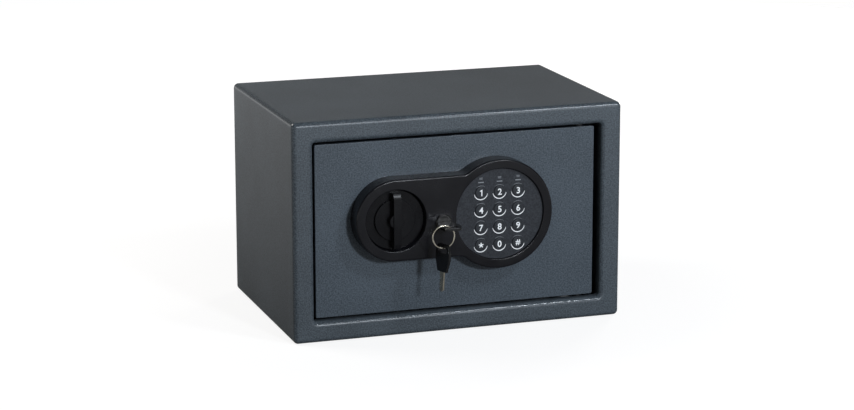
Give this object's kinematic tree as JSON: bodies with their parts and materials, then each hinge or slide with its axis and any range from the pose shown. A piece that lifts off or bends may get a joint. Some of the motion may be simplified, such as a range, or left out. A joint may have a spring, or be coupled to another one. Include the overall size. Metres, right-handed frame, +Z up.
{
  "type": "electronic safe",
  "caption": "Small steel safe with a recessed hinged door, round keypad, turning knob with two sliding bolts, and an override lock with its key, ring and spare key.",
  "frame": {"origin": "centre of the cabinet's underside, on the surface it stands on", "axes": "+X to the right as one faces the door, +Y to the back, +Z up"},
  "size_m": [0.31, 0.2449, 0.2],
  "materials": {
    "cabinet_paint": "dark blue-grey powder coat with a fine orange-peel texture",
    "door_paint": "dark blue-grey powder coat with a fine orange-peel texture",
    "floor_mat": "needled felt",
    "zinc_steel": "zinc-plated pressed steel",
    "screw_steel": "zinc-plated screws and small parts",
    "bolt_steel": "turned bright steel",
    "nylon": "natural nylon",
    "inner_plastic": "black moulded ABS, fine texture",
    "panel_plastic": "black moulded ABS, satin",
    "knob_plastic": "black moulded ABS, satin",
    "keypad_plastic": "dark grey textured overlay",
    "key_cap": "dark grey textured key with a white printed digit",
    "elastomer": "moulded elastomer",
    "circuit_board": "green solder mask",
    "component_plastic": "black component plastic",
    "window_plastic": "clear smoked light pipe",
    "cell_jacket": "printed cell jacket",
    "coil_tape": "wound copper under tape",
    "nickel": "nickel plate",
    "key_brass": "nickel silver key blank",
    "key_plastic": "black moulded key head",
    "ring_steel": "nickel-plated wire",
    "lead_jacket": "red lead insulation",
    "reset_plastic": "red button"
  },
  "bodies": {
    "cabinet": {"body_wrap": "cabinet_paint", "back_panel": "cabinet_paint", "floor_mat": "floor_mat", "hinge_lugs": "cabinet_paint", "hinge_pins": "zinc_steel"},
    "door": {"door_plate": "door_paint", "hinge_brackets": "zinc_steel", "hinge_sleeves": "nylon", "bolt_guide": "zinc_steel", "guide_studs": "zinc_steel", "cover_standoffs": "zinc_steel", "inner_cover": "inner_plastic", "cover_screws": "screw_steel", "escutcheon": "panel_plastic", "panel_screws": "screw_steel", "keypad_faceplate": "keypad_plastic", "keypad_mat": "elastomer", "keypad_board": "circuit_board", "board_components": "component_plastic", "indicator_windows": "window_plastic", "battery_tray": "inner_plastic", "battery_cells": "cell_jacket", "solenoid_frame": "zinc_steel", "solenoid_coil": "coil_tape", "lock_cylinder": "nickel", "lock_nut": "screw_steel", "knob_bush": "nylon", "cable_grommet": "elastomer", "wiring_loom": "lead_jacket", "reset_switch": "component_plastic"},
    "knob": {"knob": "knob_plastic", "knob_shaft": "zinc_steel", "knob_clip": "screw_steel", "knob_cam": "zinc_steel"},
    "bolt_carriage": {"carriage_plate": "zinc_steel", "locking_bolts": "bolt_steel", "bolt_pins": "screw_steel"},
    "lock_plug": {"lock_plug": "nickel", "lock_arm": "zinc_steel", "key_blade": "key_brass", "key_head": "key_plastic"},
    "blocker": {"blocker_plunger": "bolt_steel", "blocker_spring": "screw_steel"},
    "key_ring": {"key_ring": "ring_steel"},
    "spare_key": {"spare_key_blade": "key_brass", "spare_key_head": "key_plastic"},
    "reset_button": {"reset_button": "reset_plastic"},
    "battery_cover": {"battery_cover": "inner_plastic"},
    "key_1": {"key_1": "key_cap"},
    "key_2": {"key_2": "key_cap"},
    "key_3": {"key_3": "key_cap"},
    "key_4": {"key_4": "key_cap"},
    "key_5": {"key_5": "key_cap"},
    "key_6": {"key_6": "key_cap"},
    "key_7": {"key_7": "key_cap"},
    "key_8": {"key_8": "key_cap"},
    "key_9": {"key_9": "key_cap"},
    "key_star": {"key_star": "key_cap"},
    "key_0": {"key_0": "key_cap"},
    "key_hash": {"key_hash": "key_cap"}
  },
  "joints": [
    {"name": "door_hinge", "type": "hinge", "parent": "cabinet", "child": "door", "pos_m": [0.119, -0.085, 0.1], "axis": [0, 0, 1], "range_deg": [0, 105]},
    {"name": "knob_turn", "type": "hinge", "parent": "door", "child": "knob", "pos_m": [-0.064, -0.1, 0.109], "axis": [0, -1, 0], "range_deg": [0, 60.05]},
    {"name": "bolt_slide", "type": "slide", "parent": "door", "child": "bolt_carriage", "axis": [-1, 0, 0], "range_m": [0, 0.014]},
    {"name": "key_turn", "type": "hinge", "parent": "door", "child": "lock_plug", "pos_m": [-0.02, -0.1, 0.1042], "axis": [0, -1, 0], "range_deg": [0, 90]},
    {"name": "blocker_slide", "type": "slide", "parent": "door", "child": "blocker", "axis": [0, 0, -1], "range_m": [0, 0.00501]},
    {"name": "ring_swing", "type": "hinge", "parent": "lock_plug", "child": "key_ring", "pos_m": [-0.02775, -0.1355, 0.1042], "axis": [0, -1, 0], "range_deg": [-90.1, 0]},
    {"name": "spare_key_swing", "type": "hinge", "parent": "key_ring", "child": "spare_key", "pos_m": [-0.02775, -0.1355, 0.0868], "axis": [-1, 0, 0], "range_deg": [-10, 60]},
    {"name": "reset_press", "type": "slide", "parent": "door", "child": "reset_button", "axis": [0, -1, 0], "range_m": [0, 0.0015], "stiffness_N_per_m": 400},
    {"name": "battery_cover_slide", "type": "slide", "parent": "door", "child": "battery_cover", "axis": [0, 0, 1], "range_m": [0, 0.045]},
    {"name": "key_1_press", "type": "slide", "parent": "door", "child": "key_1", "axis": [0, 1, 0], "range_m": [0, 0.0008], "stiffness_N_per_m": 400},
    {"name": "key_2_press", "type": "slide", "parent": "door", "child": "key_2", "axis": [0, 1, 0], "range_m": [0, 0.0008], "stiffness_N_per_m": 400},
    {"name": "key_3_press", "type": "slide", "parent": "door", "child": "key_3", "axis": [0, 1, 0], "range_m": [0, 0.0008], "stiffness_N_per_m": 400},
    {"name": "key_4_press", "type": "slide", "parent": "door", "child": "key_4", "axis": [0, 1, 0], "range_m": [0, 0.0008], "stiffness_N_per_m": 400},
    {"name": "key_5_press", "type": "slide", "parent": "door", "child": "key_5", "axis": [0, 1, 0], "range_m": [0, 0.0008], "stiffness_N_per_m": 400},
    {"name": "key_6_press", "type": "slide", "parent": "door", "child": "key_6", "axis": [0, 1, 0], "range_m": [0, 0.0008], "stiffness_N_per_m": 400},
    {"name": "key_7_press", "type": "slide", "parent": "door", "child": "key_7", "axis": [0, 1, 0], "range_m": [0, 0.0008], "stiffness_N_per_m": 400},
    {"name": "key_8_press", "type": "slide", "parent": "door", "child": "key_8", "axis": [0, 1, 0], "range_m": [0, 0.0008], "stiffness_N_per_m": 400},
    {"name": "key_9_press", "type": "slide", "parent": "door", "child": "key_9", "axis": [0, 1, 0], "range_m": [0, 0.0008], "stiffness_N_per_m": 400},
    {"name": "key_star_press", "type": "slide", "parent": "door", "child": "key_star", "axis": [0, 1, 0], "range_m": [0, 0.0008], "stiffness_N_per_m": 400},
    {"name": "key_0_press", "type": "slide", "parent": "door", "child": "key_0", "axis": [0, 1, 0], "range_m": [0, 0.0008], "stiffness_N_per_m": 400},
    {"name": "key_hash_press", "type": "slide", "parent": "door", "child": "key_hash", "axis": [0, 1, 0], "range_m": [0, 0.0008], "stiffness_N_per_m": 400}
  ],
  "couplings": [
    {"joint": "knob_turn", "follows": "bolt_slide", "rad_per_m": 74.8},
    {"joint": "blocker_slide", "follows": "key_turn", "m_per_rad": 0.0031831},
    {"joint": "ring_swing", "follows": "key_turn", "ratio": -1}
  ]
}
